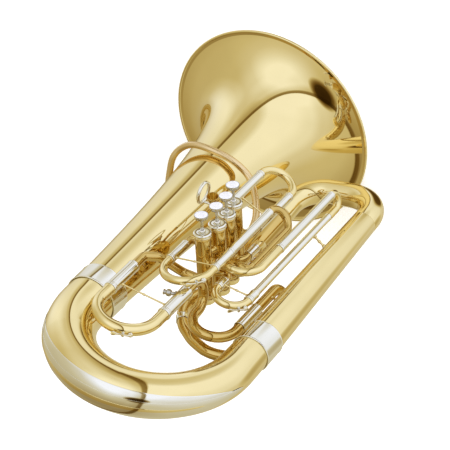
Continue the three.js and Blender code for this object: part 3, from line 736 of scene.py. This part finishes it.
valve(1, [port([bore_at(1, -86), (-121, -86, 426), (-121, -86, 404.4)], 10),
          port([bore_at(1, -58), (-188, -58, 428), (-188, -58, 404.4)], 12),
          port([bore_at(1, -25), (-162, -25, 412.4)], 0, 7.6), link(1, -75)])
valve(2, [port([bore_at(2, -28), (-198, -28, 475), (-198, -28, 456.4)], 12),
          port([bore_at(2, 5), (-198, 5, 475), (-198, 5, 456.4)], 12), link(2, -15)])
valve(3, [port([bore_at(3, -62), (-100, -62, 508), (-100, -62, 529.6)], 12),
          port([bore_at(3, -45), (-232, -45, 516), (-232, -45, 500)], 12), link(3, -75)])
valve(4, [port([(-156, -62, 550), (-213.6, -62, 550)]),
          port([bore_at(4, -40), (-206, -40, 540), (-206, -40, 559.6)], 10),
          port([bore_at(4, -15), (-138, -15, 557)], 0, 9)])

# ---- slides and water keys ----

# The radii of a slide: its legs, the bend's outside, the bore, the ring at a sleeve's mouth and the sleeve.
SIZES = {
    "valve": {"inner": 7.0, "outer": VALVE_TUBE, "bore": 6.2, "ring": 9.9, "sleeve": 9.1},
    "main": {"inner": 10.6, "outer": 11.8, "bore": 9.6, "ring": 13.5, "sleeve": 12.3},
}
PIVOT, PAD = 4.4, 14.0  # a water key's pivot above the tube, and its pad along the lever


def water_key(name, crook_body, origin, along, out):
    """A sprung lever over a drain nipple, with its saddle."""
    across = np.cross(along, out)
    body = name + "_body"

    def at(x, y, z=0.0):
        return origin + along * x + out * y + across * z

    def section(x, y, half_width, half_thick):
        return at(x, y), across * half_width, out * half_thick

    lever = [(-22.6, 5.3, 1.5, 0.4), (-21.8, 5.3, 3.4, 0.7), (-20, 5.1, 4.7, 0.8), (-18, 4.9, 5.0, 0.8),
             (-15.5, 4.7, 4.3, 0.9), (-13, 4.5, 2.6, 1.0), (-9, 4.5, 1.7, 1.1), (-4, 4.6, 1.6, 1.2),
             (0, 4.8, 2.0, 1.5), (4, 4.8, 1.6, 1.2), (8, 4.7, 1.6, 1.1), (12, 4.4, 2.2, 1.0),
             (16, 4.1, 1.4, 0.8), (17.2, 3.9, 0.8, 0.4)]
    loft(name, [section(*row) for row in lever], NICKEL, body, [name])
    tip = line(at(PAD, 0), at(PAD, 10))
    cup = [(1.3, 0), (1.3, 5.2), (2.4, 5.2), (3.3, 4.3), (3.9, 2.6), (4.0, 0)]
    sweep(name + "_cup", tip, cup, NICKEL, body, sides=36)
    sweep(name + "_pad", tip, [(0.45, 0), (0.45, 4.7), (1.4, 4.8), (1.4, 0)], CORK, body, sides=36)
    hinge = line(at(0, PIVOT, -6), at(0, PIVOT, 6))
    sweep(name + "_barrel", hinge, [(3.8, 0), (3.8, 2.4), (8.2, 2.4), (8.2, 0)], NICKEL, body, sides=32)
    nipple = line(at(PAD, -6), at(PAD, 4))
    spout = [(2.0, 1.5), (2.0, 3.7), (5.0, 3.7), (6.2, 3.2), (6.2, 1.5), (2.0, 1.5)]
    sweep(name + "_nipple", nipple, spout, NICKEL, crook_body, sides=32)
    for k, z in enumerate((-3.4, 3.4)):
        lug = [(at(0, y, z), along * w, across * 0.7) for y, w in
               ((-2.2, 3.4), (0, 3.2), (2, 2.7), (4.4, 2.5), (6.0, 1.9), (6.8, 0.9))]
        loft(f"{name}_lug_{k + 1}", lug, NICKEL, crook_body)
        face = z * 1.18
        shaft = line(at(0, PIVOT, face), at(0, PIVOT, face + math.copysign(3, z)))
        sweep(f"{name}_screw_{k + 1}", shaft, [(0, 0), (0, 1.5), (0.8, 1.3), (1.0, 0)], STEEL, crook_body,
              sides=20)


def slide(name, places, reach, legs, bar, size="valve", key=None):
    """Two sleeves with a brace, and the U-shaped crook that slides in them.

    places gives each sleeve as (x, y, mouth height, seat height). reach is the height of the crook's far
    side, legs how deep its legs sit in the sleeves, bar the height of the brace, and key the water key's
    name and its angle round the bend in degrees.
    """
    dims = SIZES[size]
    body = name + "_body"
    toward = math.copysign(1, places[0][2] - places[0][3])
    for k, (x, y, mouth, seat) in enumerate(places):
        route = line((x, y, seat), (x, y, mouth))
        ring, hole, n = dims["ring"], dims["inner"] + 0.25, route.length
        plain, step = dims["sleeve"], dims["sleeve"] + 0.4
        outline = [(0, step), (4, step), (4.6, plain), (n - 9, plain), (n - 8.2, step),
                   (n - 5.4, step), (n - 5.2, plain - 0.5), (n - 4.7, plain - 0.5),
                   (n - 4.5, ring - 0.3), (n - 4, ring), (n - 1, ring), (n, ring - 0.6), (n, hole),
                   (0, hole), (0, step)]
        nodes = [name + "_sleeves"] if k == 0 else []
        sweep(f"{name}_sleeve_{k + 1}", route, outline, NICKEL, nodes=nodes, sides=44)
    a, b = (np.array((x, y, 0.0)) for x, y, _, _ in places)
    brace(f"{name}_brace", a + (0, 0, bar), dims["outer"] - 0.3, b + (0, 0, bar), dims["outer"] - 0.3, 1.7)
    bend = np.linalg.norm(b - a) / 2
    starts = [np.array((p[0], p[1], p[2] - toward * legs)) for p in places]
    corners = [np.array((p[0], p[1], reach)) for p in places]
    route = bent([starts[0], corners[0], corners[1], starts[1]], bend - 0.01, step=3)
    first, last = legs + 0.3, route.length - legs - 0.3
    leg, wide, bore = dims["inner"], dims["outer"], dims["bore"]
    outline = [(0, leg), (first, leg), (first, wide + 0.5), (first + 2.4, wide + 0.5), (first + 3, wide),
               (last - 3, wide), (last - 2.4, wide + 0.5), (last, wide + 0.5), (last, leg),
               (route.length, leg), (route.length, bore), (0, bore), (0, leg)]
    sweep(name + "_crook", route, outline, BRASS, body, [name + "_crook"], sides=44)
    if key:
        angle = math.radians(key[1])
        apart, up = unit(b - a), np.array((0, 0, toward))
        out = apart * math.cos(angle) + up * math.sin(angle)
        along = apart * math.sin(angle) - up * math.cos(angle)
        middle = (a + b) / 2 + np.array((0, 0, reach - toward * bend))
        water_key(key[0], body, middle + out * (bend + dims["outer"]), along, out)


slide("main_slide", [(-50, -58, 726, 640.4), (-168, -48, 726, 640.4)], 811, 74, 700, "main",
      ("main_water_key", 67.5))
slide("valve_1_slide", [(-121, -86, 274, 404), (-188, -58, 274, 404)], 234, 70, 362)
slide("valve_2_slide", [(-198, -28, 424, 456), (-198, 5, 424, 456)], 398, 24, 440)
slide("valve_3_slide", [(-100, -62, 590, 530), (-196, -81, 590, 530)], 650, 44, 580,
      key=("valve_3_water_key", 45))
slide("valve_4_slide", [(-206, -40, 588, 560), (-272, -35, 588, 560)], 622, 24, 574,
      key=("valve_4_water_key", 45))

knob = line((-155.8, -48, 660), (-130, -46.5, 665))
knob_outline = [(0, 0), (0, 6.2), (1.8, 5.4), (3.4, 3.6), (9, 3.4), (10, 6.0), (12, 7.0), (15, 7.2),
                (18, 6.4), (19.4, 4.4), (22.4, 4.2), (23, 5.6), (25.2, 5.2), (25.6, 0)]
sweep("main_slide_knob", knob, knob_outline, AGED_NICKEL, sides=40, soft=0.7)

# ---- leadpipe and valve tubing ----

lead = flowing([(78, 118, 338), (84, 78, 316), (85, 38, 288), (87, -4, 277), (85, -42, 269), (74, -63, 262),
                (48, -83, 260), (0, -90, 262), (-46, -80, 258), (-86, -57, 259), (-120, -38, 290),
                (-150, -28, 340), (-161.5, -25, 385), (-162, -25, 412)])
pipe("leadpipe", lead, 6.8, 7.2, material=ROSE)
mouth, inward, _ = lead.at(0)
receiver = [(0, 9.2), (0.6, 9.6), (3.4, 9.6), (4.4, 8.7), (43, 8.3), (44, 9.2), (46, 9.2), (47, 8.6),
            (54, 8.6), (55, 8.0), (55, 6), (0, 7.4), (0, 9.2)]
sweep("mouthpiece_receiver", line(mouth - inward * 55.4, mouth - inward * 0.4), receiver, NICKEL,
      nodes=["mouthpiece_receiver"])

third_loop = bent([(-196, -81, 372), (-196, -81, 342), (-232, -45, 342), (-232, -45, 499.6)], 25)
pipe("valve_3_loop", third_loop, VALVE_TUBE, material=SHADED_BRASS)


def long_tube(name, a, b, radius):
    """A straight nickel tube with a slightly wider band at each end."""
    route = line(a, b)
    n = route.length
    end, bore = radius + 0.6, radius - 1.2
    outline = [(0, end), (5, end), (5.6, radius), (n - 5.6, radius), (n - 5, end), (n, end), (n, bore),
               (0, bore), (0, end)]
    sweep(name, route, outline, NICKEL, nodes=[name])


long_tube("valve_3_long_tube", (-196, -81, 372.4), (-196, -81, 529.6), 9.0)
feed = bent([(-214, -62, 550), (-222, -62, 550), (-262, -68, 548), (-262, -68, 452)], [20, 34])
pipe("valve_4_feed", feed, VALVE_TUBE, 8.8)
long_tube("valve_4_long_tube", (-262, -68, 451.6), (-262, -68, 236), 9.2)
over_bend = bent([(-262, -68, 235.6), (-262, -68, 217), (-272, -35, 217), (-272, -35, 262)], 17.2)
pipe("valve_4_top_bend", over_bend, VALVE_TUBE)
long_tube("valve_4_slim_tube", (-272, -35, 262.4), (-272, -35, 559.6), 7.6)


def make_thumb_ring():
    """A flattened ring on a stalk from the first valve's casing, with a flared socket beside it."""
    middle, radius, wire = np.array((-87.0, -130.0, 448.0)), 21.0, 3.7
    steps, sides = 72, 24
    angles = np.arange(steps) * TURN / steps
    ring = np.array([middle + radius * np.array((0, math.cos(a), math.sin(a))) for a in angles])
    rows = []
    for point in ring:
        out = unit(point - middle)
        rows.append([point + out * wire * 0.85 * math.cos(t) + np.array((1, 0, 0)) * wire * math.sin(t)
                     for t in np.arange(sides) * TURN / sides])
    faces = rings_to_faces([sides] * steps, True)
    make("thumb_ring", np.concatenate(rows), faces, NICKEL, "horn", "thumb_ring")
    stalk = line(middle + (0, radius, 0), (-135.3, -104, 440))
    n = stalk.length
    cup = [(0, 0), (0, 5.6), (8, 6.6), (17, 10.6), (24, 12.4), (25, 12.0), (25, 10.8), (18, 8.8),
           (9, 5.0), (9, 0)]
    sweep("thumb_ring_socket", line((-108, -105.5, 444.6), (-108, -131, 448.6)), cup, SHADED_BRASS, sides=40)
    outline = [(0, 0), (0, 3.0), (8, 2.5), (n - 8, 2.4), (n - 3, 3.2), (n - 2, 5), (n, 5), (n, 0)]
    sweep("thumb_ring_stalk", stalk, outline, NICKEL, sides=28, soft=0.8)


make_thumb_ring()

# ---- the pistons and springs inside the casings stay as the CAD made them ----

for node_name, node in frame["nodes"].items():
    if node.hide_render:
        continue
    for material_slot in node.material_slots:
        material_slot.material = STEEL
